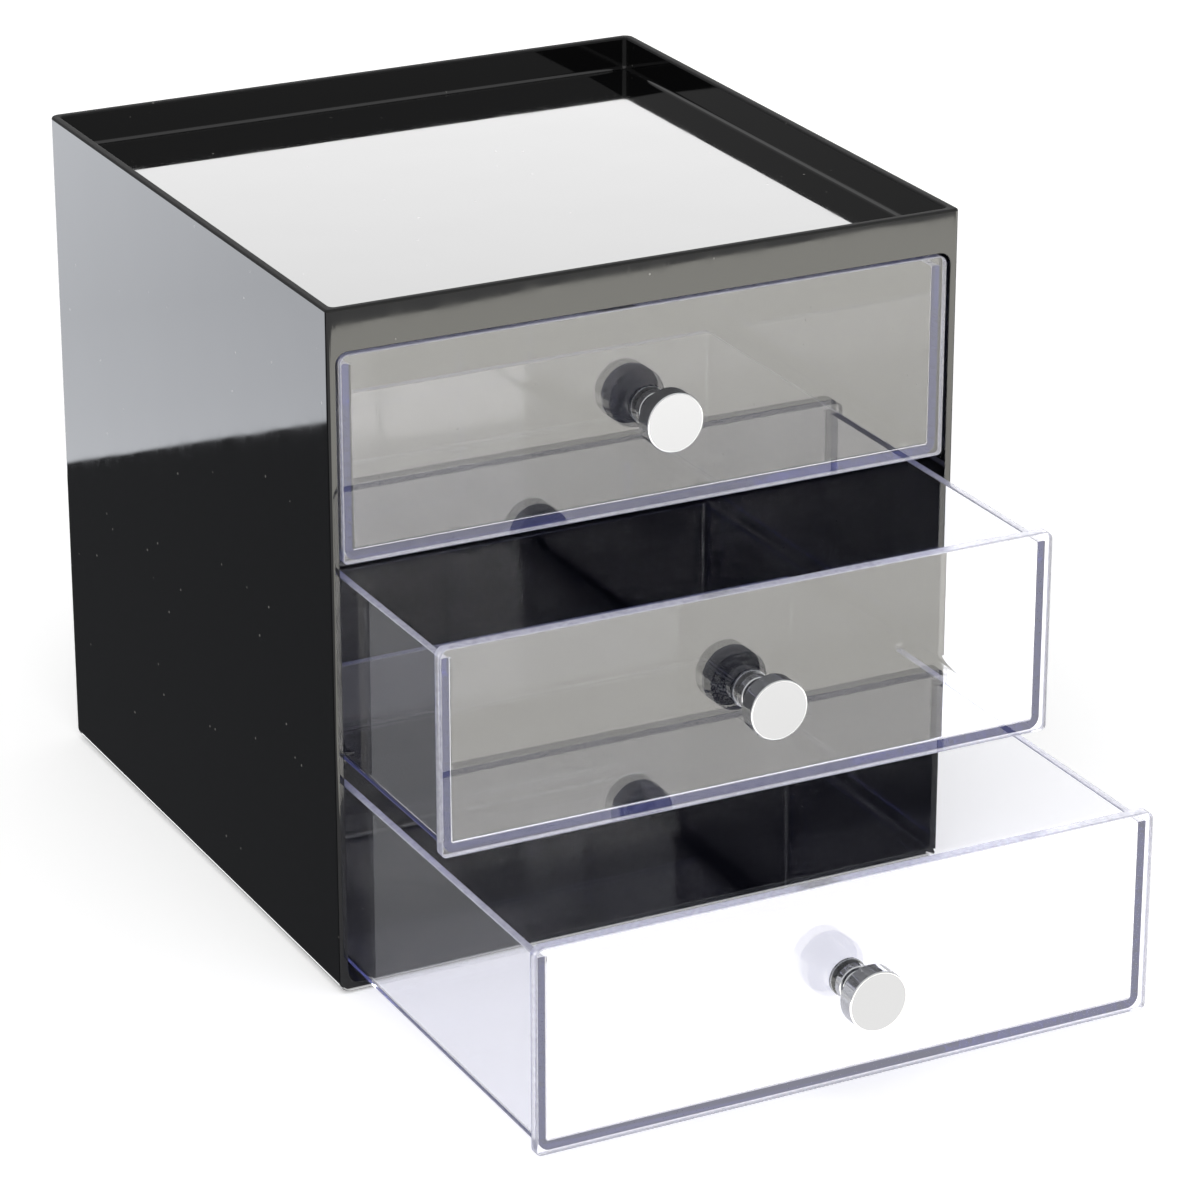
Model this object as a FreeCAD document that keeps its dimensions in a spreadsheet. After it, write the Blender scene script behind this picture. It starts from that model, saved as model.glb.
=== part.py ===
"""Counter-top drawer organizer: a gloss black moulded case with a tray top and three clear drawers.

Millimetres. X runs to the right, Y to the back and Z up. The origin is at the centre of the case's
underside, and the four pads reach just below it. Each sub-part is drawn from its own corner or axis and
then put in place.
"""

import FreeCAD, Part
import os
import Sketcher

# Driving dimensions in millimetres: name, value, what it is.
SIZES = [
    ("case_width", 168.0, "case, side to side"),
    ("case_depth", 174.0, "case, front to back"),
    ("case_wall", 2.2, "sides and back of the case, and the tray's rim"),
    ("base_thick", 2.4, "base plate of the case"),
    ("tray_floor", 2.0, "plate under the top tray"),
    ("tray_depth", 8.8, "height of the rim above the tray's floor"),
    ("base_corner", 3.0, "radius of the long bottom edges of the case"),
    ("front_edge", 1.0, "radius round the front of the case"),
    ("back_corner", 2.5, "radius round the back of the case"),
    ("mouth_corner", 3.0, "inside corners of the drawer opening"),
    ("tray_corner", 1.2, "inside corners of the top tray"),
    ("panel_height", 51.8, "drawer front, bottom to top"),
    ("panel_thick", 3.0, "drawer front"),
    ("panel_top_corner", 2.3, "upper corners of a drawer front"),
    ("panel_base_corner", 1.3, "lower corners of a drawer front"),
    ("panel_side_gap", 0.9, "between a drawer front and each side of the case"),
    ("panel_stack_gap", 1.9, "between one drawer front and the next"),
    ("panel_top_gap", 0.6, "above the highest drawer front"),
    ("panel_base_gap", 1.0, "under the lowest drawer front"),
    ("box_side_step", 1.2, "drawer front proud of the box at each side"),
    ("box_top_step", 2.8, "box sides lower than the drawer front"),
    ("box_base_step", 0.3, "box floor higher than the drawer front's lower edge"),
    ("box_wall", 1.9, "sides and back of a drawer"),
    ("box_floor", 2.0, "floor of a drawer"),
    ("box_corner", 3.0, "outside radius along the bottom of a drawer"),
    ("box_back_gap", 1.2, "behind a closed drawer"),
    ("runner_width", 8.0, "runner, measured out from the side of the case"),
    ("runner_thick", 2.0, "runner"),
    ("runner_setback", 10.0, "start of the runners behind the front of the case"),
    ("runner_gap", 0.3, "under a drawer's floor"),
    ("knob_reach", 12.2, "knob, panel to face"),
    ("knob_radius", 7.5, "knob head"),
    ("knob_head", 4.8, "thickness of the knob head"),
    ("knob_neck", 3.6, "radius of the knob's neck"),
    ("knob_flange", 4.6, "radius of the knob's foot"),
    ("knob_flange_thick", 2.4, "thickness of the knob's foot"),
    ("knob_edge", 0.35, "edge rounding of the knob"),
    ("screw_radius", 2.0, "screw shank"),
    ("screw_play", 0.3, "round the screw shank in every hole"),
    ("screw_bite", 7.0, "screw length inside the knob"),
    ("screw_spare", 1.0, "bore left free past the end of the screw"),
    ("screw_head_radius", 3.6, "pan head"),
    ("screw_head_thick", 2.4, "pan head"),
    ("screw_slot", 1.0, "width of the cross recess"),
    ("screw_slot_depth", 1.3, "depth of the cross recess"),
    ("washer_radius", 4.8, "washer"),
    ("washer_thick", 0.8, "washer"),
    ("foot_radius", 5.0, "non-slip pad"),
    ("foot_thick", 1.0, "non-slip pad"),
    ("foot_recess", 0.6, "depth of a pad's seat in the base"),
    ("foot_play", 0.3, "round a pad in its seat"),
    ("foot_inset", 14.0, "pad centre from the outline of the case"),
    ("middle_open", 52.0, "middle drawer, pulled out"),
    ("bottom_open", 100.0, "bottom drawer, pulled out"),
]

# The drawers from the top down, with how far each one stands open.
DRAWERS = [
    ("top", "0"),
    ("middle", "Sizes.middle_open"),
    ("bottom", "Sizes.bottom_open"),
]

# Sizes that follow from the driving ones, as expressions on the sheet.
MOUTH_WIDTH = "(Sizes.case_width - 2 * Sizes.case_wall)"
STACK_HEIGHT = (
    f"({len(DRAWERS)} * Sizes.panel_height + {len(DRAWERS) - 1} * Sizes.panel_stack_gap"
    " + Sizes.panel_top_gap + Sizes.panel_base_gap)"
)
MOUTH_TOP = f"(Sizes.base_thick + {STACK_HEIGHT})"
CASE_HEIGHT = f"({MOUTH_TOP} + Sizes.tray_floor + Sizes.tray_depth)"
MOUTH_DEPTH = "(Sizes.case_depth - Sizes.case_wall)"

PANEL_LEFT = "(Sizes.case_wall + Sizes.panel_side_gap)"
PANEL_WIDTH = f"({MOUTH_WIDTH} - 2 * Sizes.panel_side_gap)"
BOX_SIDE = "Sizes.box_side_step"
BOX_WIDTH = f"({PANEL_WIDTH} - 2 * Sizes.box_side_step)"
BOX_BACK = f"({MOUTH_DEPTH} - Sizes.box_back_gap)"
BOX_TOP = "(Sizes.panel_height - Sizes.box_top_step)"
BOX_INNER_CORNER = "(Sizes.box_corner - Sizes.box_wall)"

KNOB_BORE = "(Sizes.screw_radius + Sizes.screw_play)"
KNOB_BORE_DEPTH = "(Sizes.screw_bite + Sizes.screw_spare)"
WASHER_BACK = "(Sizes.panel_thick + Sizes.washer_thick)"

TOUCH = 1e-4

doc = FreeCAD.newDocument("DrawerOrganizer")
sheet = doc.addObject("Spreadsheet::Sheet", "Sizes")
for row, (alias, size, note) in enumerate(SIZES, start=1):
    sheet.set(f"A{row}", alias)
    sheet.set(f"B{row}", str(size))
    sheet.set(f"C{row}", note)
    sheet.setAlias(f"B{row}", alias)
doc.recompute()


def amount(expression):
    """The number that an expression on the sheet gives now."""
    return float(sheet.evalExpression(expression))


def panel_base(bay):
    """Height of a drawer front's lower edge. Bay 0 is the top drawer."""
    below = len(DRAWERS) - 1 - bay
    pitch = "(Sizes.panel_height + Sizes.panel_stack_gap)"
    return f"(Sizes.base_thick + Sizes.panel_base_gap + {below} * {pitch})"


def new_body(label):
    """An empty sub-part with its own name."""
    body = doc.addObject("PartDesign::Body", label)
    body.Label = label
    return body


def place(body, x, y, z):
    """Ties a sub-part's place, from the case's front left bottom corner, to the sheet."""
    body.setExpression("Placement.Base.x", f"{x} - Sizes.case_width / 2")
    body.setExpression("Placement.Base.y", f"{y} - Sizes.case_depth / 2")
    body.setExpression("Placement.Base.z", z)


def new_sketch(body, name, plane, offset="0"):
    """A sketch on one of the body's own planes, moved along the plane's normal."""
    sketch = body.newObject("Sketcher::SketchObject", name)
    role = f"{plane}_Plane"
    origin = [part for part in body.Origin.OriginFeatures if part.Role == role]
    sketch.AttachmentSupport = [(origin[0], "")]
    sketch.MapMode = "FlatFace"
    sketch.setExpression("AttachmentOffset.Base.z", offset)
    return sketch


def hold(sketch, kind, geometry, point, expression):
    """Holds one point of the sketch at a distance from the origin along one axis."""
    distance = amount(expression)
    if abs(distance) < TOUCH:
        axis = {"DistanceX": -2, "DistanceY": -1}[kind]
        sketch.addConstraint(Sketcher.Constraint("PointOnObject", geometry, point, axis))
        return
    constraint = Sketcher.Constraint(kind, -1, 1, geometry, point, distance)
    index = sketch.addConstraint(constraint)
    sketch.setExpression(f"Constraints[{index}]", expression)


def rectangle(sketch, left, low, right, high):
    """A closed rectangle whose four sides follow expressions."""
    x0, y0, x1, y1 = (amount(side) for side in (left, low, right, high))
    corners = [FreeCAD.Vector(x, y, 0) for x, y in ((x0, y0), (x1, y0), (x1, y1), (x0, y1))]
    first = sketch.GeometryCount
    for turn in range(4):
        sketch.addGeometry(Part.LineSegment(corners[turn], corners[(turn + 1) % 4]), False)
    for turn in range(4):
        after = first + (turn + 1) % 4
        sketch.addConstraint(Sketcher.Constraint("Coincident", first + turn, 2, after, 1))
    for turn, direction in enumerate(("Horizontal", "Vertical", "Horizontal", "Vertical")):
        sketch.addConstraint(Sketcher.Constraint(direction, first + turn))
    hold(sketch, "DistanceX", first, 1, left)
    hold(sketch, "DistanceY", first, 1, low)
    hold(sketch, "DistanceX", first + 2, 1, right)
    hold(sketch, "DistanceY", first + 2, 1, high)


def circle(sketch, across, up, radius):
    """A circle whose centre and radius follow expressions."""
    centre = FreeCAD.Vector(amount(across), amount(up), 0)
    ring = Part.Circle(centre, FreeCAD.Vector(0, 0, 1), amount(radius))
    geometry = sketch.addGeometry(ring, False)
    index = sketch.addConstraint(Sketcher.Constraint("Radius", geometry, amount(radius)))
    sketch.setExpression(f"Constraints[{index}]", radius)
    hold(sketch, "DistanceX", geometry, 3, across)
    hold(sketch, "DistanceY", geometry, 3, up)


def outline(sketch, points):
    """A closed outline of straight lines through points that are pairs of expressions."""
    places = [FreeCAD.Vector(amount(x), amount(y), 0) for x, y in points]
    count = len(points)
    for turn in range(count):
        sketch.addGeometry(Part.LineSegment(places[turn], places[(turn + 1) % count]), False)
    for turn in range(count):
        after = (turn + 1) % count
        sketch.addConstraint(Sketcher.Constraint("Coincident", turn, 2, after, 1))
    for turn, (x, y) in enumerate(points):
        hold(sketch, "DistanceX", turn, 1, x)
        hold(sketch, "DistanceY", turn, 1, y)


def extrude(body, kind, name, sketch, length, backwards=False):
    """A Pad or a Pocket of a sketch, checked to have changed the solid."""
    before = body.Shape.Volume if body.Tip else 0.0
    feature = body.newObject(f"PartDesign::{kind}", name)
    feature.Profile = sketch
    feature.setExpression("Length", length)
    feature.Reversed = backwards
    sketch.Visibility = False
    doc.recompute()
    if abs(feature.Shape.Volume - before) < TOUCH:
        raise RuntimeError(f"{name} left the solid as it was")
    return feature


def turn_round(body, name, sketch, axis):
    """A full turn of a sketch round one of its own axes."""
    feature = body.newObject("PartDesign::Revolution", name)
    feature.Profile = sketch
    feature.ReferenceAxis = (sketch, [axis])
    feature.Angle = 360.0
    doc.recompute()
    return feature


def edges_in(feature, along=None, x=None, y=None, z=None):
    """Names of a feature's edges that lie in the given planes and, if asked, run along an axis."""
    wanted = {"x": x, "y": y, "z": z}
    names = []
    for number, edge in enumerate(feature.Shape.Edges, start=1):
        box = edge.BoundBox
        spans = {"x": (box.XMin, box.XMax), "y": (box.YMin, box.YMax), "z": (box.ZMin, box.ZMax)}
        lies = all(
            any(max(abs(end - amount(place)) for end in spans[axis]) < TOUCH for place in places)
            for axis, places in wanted.items()
            if places is not None
        )
        if not lies:
            continue
        thin = [axis for axis, (low, high) in spans.items() if high - low < TOUCH]
        if along is not None and (along in thin or len(thin) != 2):
            continue
        names.append(f"Edge{number}")
    if not names:
        raise RuntimeError(f"no edge found on {feature.Name}")
    return names


def rims_of_radius(feature, radius):
    """Names of a feature's round edges of one radius."""
    size = amount(radius)
    names = []
    for number, edge in enumerate(feature.Shape.Edges, start=1):
        curve = edge.Curve
        if isinstance(curve, Part.Circle) and abs(curve.Radius - size) < TOUCH:
            names.append(f"Edge{number}")
    return names


def round_over(body, name, feature, names, radius):
    """A fillet on the named edges."""
    fillet = body.newObject("PartDesign::Fillet", name)
    fillet.Base = (feature, names)
    fillet.setExpression("Radius", radius)
    doc.recompute()
    return fillet


def make_case():
    """The case: one moulding with a tray on top, an open front and runners on its inner sides."""
    body = new_body("case_shell")
    plan = new_sketch(body, "case_plan", "XY")
    rectangle(plan, "0", "0", "Sizes.case_width", "Sizes.case_depth")
    block = extrude(body, "Pad", "case_block", plan, CASE_HEIGHT)

    sides = ["0", "Sizes.case_width"]
    names = edges_in(block, "y", x=sides, z=["0"])
    outside = round_over(body, "case_base_corners", block, names, "Sizes.base_corner")
    for end, radius in (("0", "Sizes.front_edge"), ("Sizes.case_depth", "Sizes.back_corner")):
        ring = set(edges_in(outside, y=[end])) - set(edges_in(outside, "x", y=[end], z=[CASE_HEIGHT]))
        outside = round_over(body, "case_end_edges", outside, sorted(ring), radius)

    tray_plan = new_sketch(body, "tray_plan", "XY", CASE_HEIGHT)
    inside = "Sizes.case_wall"
    far_side = f"{inside} + {MOUTH_WIDTH}"
    rectangle(tray_plan, inside, inside, far_side, MOUTH_DEPTH)
    tray = extrude(body, "Pocket", "tray", tray_plan, "Sizes.tray_depth")
    names = edges_in(tray, "z", x=[inside, far_side], y=[inside, MOUTH_DEPTH])
    tray = round_over(body, "tray_corners", tray, names, "Sizes.tray_corner")

    mouth_plan = new_sketch(body, "mouth_plan", "XZ")
    rectangle(mouth_plan, inside, "Sizes.base_thick", far_side, MOUTH_TOP)
    mouth = extrude(body, "Pocket", "mouth", mouth_plan, MOUTH_DEPTH)
    names = edges_in(mouth, "y", x=[inside, far_side], z=["Sizes.base_thick", MOUTH_TOP])
    round_over(body, "mouth_corners", mouth, names, "Sizes.mouth_corner")

    runner_plan = new_sketch(body, "runner_plan", "XZ", "-Sizes.runner_setback")
    half_wall = "Sizes.case_wall / 2"
    for bay in range(len(DRAWERS)):
        top = f"({panel_base(bay)} + Sizes.box_base_step - Sizes.runner_gap)"
        low = f"({top} - Sizes.runner_thick)"
        reach = "(Sizes.case_wall + Sizes.runner_width)"
        if bay == len(DRAWERS) - 1:
            low = "(Sizes.base_thick / 2)"
        left_wall = half_wall if bay < len(DRAWERS) - 1 else f"({inside} + Sizes.mouth_corner)"
        right_wall = f"(Sizes.case_width - {left_wall})"
        rectangle(runner_plan, left_wall, low, reach, top)
        rectangle(runner_plan, f"(Sizes.case_width - {reach})", low, right_wall, top)
    length = f"({MOUTH_DEPTH} + {half_wall} - Sizes.runner_setback)"
    extrude(body, "Pad", "runners", runner_plan, length, backwards=True)

    seat_plan = new_sketch(body, "foot_seats", "XY")
    for _, across, along in feet():
        circle(seat_plan, across, along, "(Sizes.foot_radius + Sizes.foot_play)")
    extrude(body, "Pocket", "seats", seat_plan, "Sizes.foot_recess", backwards=True)
    place(body, "0", "0", "0")


def feet():
    """Name and place of each foot."""
    near = "Sizes.foot_inset"
    right = "(Sizes.case_width - Sizes.foot_inset)"
    back = "(Sizes.case_depth - Sizes.foot_inset)"
    return [
        ("foot_front_left", near, near),
        ("foot_front_right", right, near),
        ("foot_back_left", near, back),
        ("foot_back_right", right, back),
    ]


def make_foot(label, across, along):
    """One non-slip pad, seated in the base."""
    body = new_body(label)
    plan = new_sketch(body, f"{label}_plan", "XY")
    circle(plan, "0", "0", "Sizes.foot_radius")
    extrude(body, "Pad", f"{label}_pad", plan, "Sizes.foot_thick")
    place(body, across, along, "Sizes.foot_recess - Sizes.foot_thick")


def make_drawer(name, bay, opening):
    """One clear drawer moulding: a front panel with a box behind it, open at the top."""
    body = new_body(f"{name}_drawer")
    front = new_sketch(body, f"{name}_front", "XZ")
    rectangle(front, "0", "0", PANEL_WIDTH, "Sizes.panel_height")
    panel = extrude(body, "Pad", f"{name}_panel", front, "Sizes.panel_thick", backwards=True)
    ends = ["0", PANEL_WIDTH]
    names = edges_in(panel, "y", x=ends, z=["Sizes.panel_height"])
    panel = round_over(body, f"{name}_top_corners", panel, names, "Sizes.panel_top_corner")
    names = edges_in(panel, "y", x=ends, z=["0"])
    round_over(body, f"{name}_base_corners", panel, names, "Sizes.panel_base_corner")

    section = new_sketch(body, f"{name}_section", "XZ", "-Sizes.panel_thick / 2")
    far_side = f"({BOX_SIDE} + {BOX_WIDTH})"
    rectangle(section, BOX_SIDE, "Sizes.box_base_step", far_side, BOX_TOP)
    box_length = f"({BOX_BACK} - Sizes.panel_thick / 2)"
    box = extrude(body, "Pad", f"{name}_box", section, box_length, backwards=True)
    names = edges_in(box, "y", x=[BOX_SIDE, far_side], z=["Sizes.box_base_step"])
    names += edges_in(box, "z", x=[BOX_SIDE, far_side], y=[BOX_BACK])
    names += edges_in(box, "x", y=[BOX_BACK], z=["Sizes.box_base_step"])
    round_over(body, f"{name}_box_edges", box, names, "Sizes.box_corner")

    hollow = new_sketch(body, f"{name}_hollow", "XY", BOX_TOP)
    left = f"({BOX_SIDE} + Sizes.box_wall)"
    right = f"({far_side} - Sizes.box_wall)"
    back = f"({BOX_BACK} - Sizes.box_wall)"
    floor = "(Sizes.box_base_step + Sizes.box_floor)"
    rectangle(hollow, left, "Sizes.panel_thick", right, back)
    cavity = extrude(body, "Pocket", f"{name}_cavity", hollow, f"({BOX_TOP} - {floor})")
    names = edges_in(cavity, "y", x=[left, right], z=[floor])
    names += edges_in(cavity, "z", x=[left, right], y=[back])
    names += edges_in(cavity, "x", y=[back], z=[floor])
    round_over(body, f"{name}_inner_edges", cavity, names, BOX_INNER_CORNER)

    drill = new_sketch(body, f"{name}_knob_hole", "XZ")
    circle(drill, f"({PANEL_WIDTH} / 2)", "(Sizes.panel_height / 2)", KNOB_BORE)
    extrude(body, "Pocket", f"{name}_hole", drill, "Sizes.panel_thick")
    place(body, PANEL_LEFT, f"-{opening}", panel_base(bay))


def place_on_panel(body, bay, opening):
    """Puts a piece of the knob on the centre line of its drawer front."""
    place(body, "Sizes.case_width / 2", f"-{opening}", f"{panel_base(bay)} + Sizes.panel_height / 2")


def make_knob(name, bay, opening):
    """A turned knob: foot, neck and flat-faced head, with a blind bore for the screw."""
    body = new_body(f"{name}_knob")
    profile = new_sketch(body, f"{name}_knob_profile", "XY")
    head_back = "-(Sizes.knob_reach - Sizes.knob_head)"
    outline(profile, [
        (KNOB_BORE, "0"),
        ("Sizes.knob_flange", "0"),
        ("Sizes.knob_flange", "-Sizes.knob_flange_thick"),
        ("Sizes.knob_neck", "-Sizes.knob_flange_thick"),
        ("Sizes.knob_neck", head_back),
        ("Sizes.knob_radius", head_back),
        ("Sizes.knob_radius", "-Sizes.knob_reach"),
        ("0", "-Sizes.knob_reach"),
        ("0", f"-{KNOB_BORE_DEPTH}"),
        (KNOB_BORE, f"-{KNOB_BORE_DEPTH}"),
    ])
    turned = turn_round(body, f"{name}_knob_turned", profile, "V_Axis")
    names = edges_in(turned, y=["-Sizes.knob_reach", head_back, "-Sizes.knob_flange_thick"])
    neck = set(rims_of_radius(turned, "Sizes.knob_neck"))
    names = [edge for edge in names if edge not in neck]
    round_over(body, f"{name}_knob_edges", turned, names, "Sizes.knob_edge")
    place_on_panel(body, bay, opening)


def make_washer(name, bay, opening):
    """The washer between the back of a drawer front and its screw's head."""
    body = new_body(f"{name}_washer")
    plan = new_sketch(body, f"{name}_washer_plan", "XZ", "-Sizes.panel_thick")
    circle(plan, "0", "0", "Sizes.washer_radius")
    circle(plan, "0", "0", KNOB_BORE)
    extrude(body, "Pad", f"{name}_washer_pad", plan, "Sizes.washer_thick", backwards=True)
    place_on_panel(body, bay, opening)


def make_screw(name, bay, opening):
    """The pan head screw that holds a knob."""
    body = new_body(f"{name}_screw")
    profile = new_sketch(body, f"{name}_screw_profile", "XY")
    head_top = f"({WASHER_BACK} + Sizes.screw_head_thick)"
    outline(profile, [
        ("0", "-Sizes.screw_bite"),
        ("Sizes.screw_radius", "-Sizes.screw_bite"),
        ("Sizes.screw_radius", WASHER_BACK),
        ("Sizes.screw_head_radius", WASHER_BACK),
        ("Sizes.screw_head_radius", head_top),
        ("0", head_top),
    ])
    turned = turn_round(body, f"{name}_screw_turned", profile, "V_Axis")
    names = edges_in(turned, y=[head_top])
    round_over(body, f"{name}_screw_crown", turned, names, "(Sizes.screw_head_thick / 2)")
    recess = new_sketch(body, f"{name}_recess", "XZ", f"-{head_top}")
    arm = "(Sizes.screw_head_radius / 2)"
    half = "(Sizes.screw_slot / 2)"
    outline(recess, cross(arm, half))
    extrude(body, "Pocket", f"{name}_slots", recess, "Sizes.screw_slot_depth", backwards=True)
    place_on_panel(body, bay, opening)


def cross(arm, half):
    """Outline of a plus sign, as pairs of expressions."""
    inward = [(arm, half), (half, half), (half, arm)]
    points = []
    for quarter, (side, end) in enumerate([("", ""), ("-", ""), ("-", "-"), ("", "-")]):
        run = inward if quarter % 2 == 0 else reversed(inward)
        points += [(f"{side}{x}", f"{end}{y}") for x, y in run]
    return points


make_case()
for foot in feet():
    make_foot(*foot)
for bay, (name, opening) in enumerate(DRAWERS):
    make_drawer(name, bay, opening)
    make_knob(name, bay, opening)
    make_washer(name, bay, opening)
    make_screw(name, bay, opening)
doc.recompute()

for item in doc.Objects:
    if {"Invalid", "Error"} & set(item.State):
        raise RuntimeError(f"{item.Name} is {item.State}")

bodies = [item for item in doc.Objects if item.TypeId == "PartDesign::Body"]
for body in bodies:
    if body.Shape.isNull() or not body.Shape.isValid():
        raise RuntimeError(f"{body.Label} has no valid shape")

os.makedirs("parts", exist_ok=True)
for body in bodies:
    body.Shape.exportStep(f"parts/{body.Label}.step")
    box = body.Shape.BoundBox
    print(
        f"{body.Label}: {len(body.Shape.Solids)} solid, {body.Shape.Volume:.1f} mm3,"
        f" x {box.XMin:.2f}..{box.XMax:.2f} y {box.YMin:.2f}..{box.YMax:.2f} z {box.ZMin:.2f}..{box.ZMax:.2f}"
    )
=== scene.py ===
"""Counter-top drawer organizer: gloss black case, clear drawers and chrome knobs, on a white floor."""

import logging
import math
from collections.abc import Callable, Iterable, Sequence
from dataclasses import dataclass
from enum import Enum

import bmesh
import bpy
from mathutils import Matrix, Vector


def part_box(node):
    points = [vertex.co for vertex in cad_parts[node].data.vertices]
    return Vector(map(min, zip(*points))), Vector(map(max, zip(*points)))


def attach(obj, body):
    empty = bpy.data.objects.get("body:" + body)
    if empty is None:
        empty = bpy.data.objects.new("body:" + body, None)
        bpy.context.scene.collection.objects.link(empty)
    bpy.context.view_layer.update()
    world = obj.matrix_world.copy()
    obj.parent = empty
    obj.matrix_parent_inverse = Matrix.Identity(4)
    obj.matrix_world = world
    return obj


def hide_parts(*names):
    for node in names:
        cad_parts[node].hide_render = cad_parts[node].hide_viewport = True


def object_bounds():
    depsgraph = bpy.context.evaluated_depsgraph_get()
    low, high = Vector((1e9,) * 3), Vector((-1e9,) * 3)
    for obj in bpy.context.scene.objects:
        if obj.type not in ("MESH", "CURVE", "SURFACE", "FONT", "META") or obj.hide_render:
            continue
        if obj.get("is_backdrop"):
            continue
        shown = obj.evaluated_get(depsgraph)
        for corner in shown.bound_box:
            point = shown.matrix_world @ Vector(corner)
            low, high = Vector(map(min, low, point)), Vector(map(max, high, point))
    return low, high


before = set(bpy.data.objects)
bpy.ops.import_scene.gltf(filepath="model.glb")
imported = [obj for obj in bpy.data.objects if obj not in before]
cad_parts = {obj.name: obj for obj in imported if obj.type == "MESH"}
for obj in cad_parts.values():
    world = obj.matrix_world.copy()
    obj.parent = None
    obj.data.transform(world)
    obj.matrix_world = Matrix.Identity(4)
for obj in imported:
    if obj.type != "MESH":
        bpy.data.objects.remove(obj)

LOG = logging.getLogger("drawer_organizer")
MM = 0.001
# Places that are closer than this are one.
TOUCH = 0.002 * MM
LEAST_CORNER = 0.05 * MM
# Turns what lies across the Z axis so that it lies across the Y axis.
ACROSS_Y = Matrix.Rotation(math.pi / 2, 4, "X")
FACE_MARK = "marked_face"
# Settings of a colour Mix node, and the number of its colour output.
COLOUR_MIX = {"data_type": "RGBA"}
MIXED_COLOUR = 2


class Bay(Enum):
    """The three drawers, from the top down. The value starts the names of the drawer's nodes."""

    TOP = "top"
    MIDDLE = "middle"
    BOTTOM = "bottom"


class Corner(Enum):
    """The case's corners. The value ends the name of the pad's node under each."""

    FRONT_LEFT = "front_left"
    FRONT_RIGHT = "front_right"
    BACK_LEFT = "back_left"
    BACK_RIGHT = "back_right"


class Axis(Enum):
    """The axes, with the place of each in a vector."""

    X = 0
    Y = 1
    Z = 2


# ---------------------------------------------------------------- node helpers


def linear(hex_colour: str) -> tuple[float, float, float, float]:
    """Turns an sRGB hex colour into linear red, green, blue and alpha.

    Args:
        hex_colour: Six hex digits, with or without a leading #.

    Returns:
        The four values that Blender's colour sockets take.
    """
    digits = hex_colour.lstrip("#")
    parts = [int(digits[i : i + 2], 16) / 255 for i in (0, 2, 4)]
    red, green, blue = (p / 12.92 if p <= 0.04045 else ((p + 0.055) / 1.055) ** 2.4 for p in parts)
    return red, green, blue, 1.0


def add_node(
    tree: bpy.types.NodeTree,
    kind: str,
    settings: dict[str, object] | None = None,
    inputs: dict[str | int, object] | None = None,
) -> bpy.types.Node:
    """Adds one shader node with its settings, values and links.

    Args:
        tree: The node tree that gets the node.
        kind: The node's type name.
        settings: Properties of the node itself.
        inputs: Socket names or numbers with a value, or with an output socket to link from.

    Returns:
        The new node.
    """
    node = tree.nodes.new(kind)
    for name, value in (settings or {}).items():
        setattr(node, name, value)
    for name, value in (inputs or {}).items():
        if isinstance(value, bpy.types.NodeSocket):
            tree.links.new(value, node.inputs[name])
        else:
            node.inputs[name].default_value = value
    return node


def new_material(name: str) -> tuple[bpy.types.Material, bpy.types.NodeTree, bpy.types.Node]:
    """Makes an empty node material.

    Args:
        name: Name of the material.

    Returns:
        The material, its node tree and its output node.
    """
    material = bpy.data.materials.new(name)
    material.use_nodes = True
    material.node_tree.nodes.clear()
    output = add_node(material.node_tree, "ShaderNodeOutputMaterial")
    return material, material.node_tree, output


def colour_mix(
    factor: bpy.types.NodeSocket, first: str, second: str
) -> dict[int, bpy.types.NodeSocket | tuple[float, float, float, float]]:
    """Gives a colour Mix node its inputs, by number because several of its sockets share a name."""
    return {0: factor, 6: linear(first), 7: linear(second)}


@dataclass(frozen=True)
class Grain:
    """A noise pattern on Object coordinates.

    Its size is that of one blotch, detail counts its octaves of finer noise, and stretch says how much
    finer it is along each axis.
    """

    size: float
    detail: float
    stretch: tuple[float, float, float] = (1.0, 1.0, 1.0)

    def noise(self, tree: bpy.types.NodeTree) -> bpy.types.NodeSocket:
        """Adds the pattern to a node tree.

        Args:
            tree: The node tree.

        Returns:
            The noise value, from 0 to 1.
        """
        place = add_node(tree, "ShaderNodeTexCoord").outputs["Object"]
        stretched = add_node(tree, "ShaderNodeMapping", inputs={"Vector": place, "Scale": self.stretch})
        noise = add_node(
            tree,
            "ShaderNodeTexNoise",
            inputs={"Vector": stretched.outputs[0], "Scale": 1 / self.size, "Detail": self.detail},
        )
        return noise.outputs["Fac"]


@dataclass(frozen=True)
class Slope:
    """What a Map Range node does: start at low, end at high, even between them and level beyond."""

    low: float
    high: float
    start: float = 0.0
    end: float = 1.0

    def inputs(self, value: bpy.types.NodeSocket) -> dict[str, bpy.types.NodeSocket | float]:
        """Gives the node its inputs.

        Args:
            value: What the node maps.

        Returns:
            The five inputs.
        """
        return {
            "Value": value,
            "From Min": self.low,
            "From Max": self.high,
            "To Min": self.start,
            "To Max": self.end,
        }


@dataclass(frozen=True)
class Relief:
    """What a Bump node does: how strongly a relief shows and how deep it is."""

    strength: float
    depth: float

    def inputs(self, height: bpy.types.NodeSocket) -> dict[str, bpy.types.NodeSocket | float]:
        """Gives the node its inputs, of which height is the pattern that it raises."""
        return {"Strength": self.strength, "Distance": self.depth, "Height": height}


# ---------------------------------------------------------------- finishes


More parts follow.
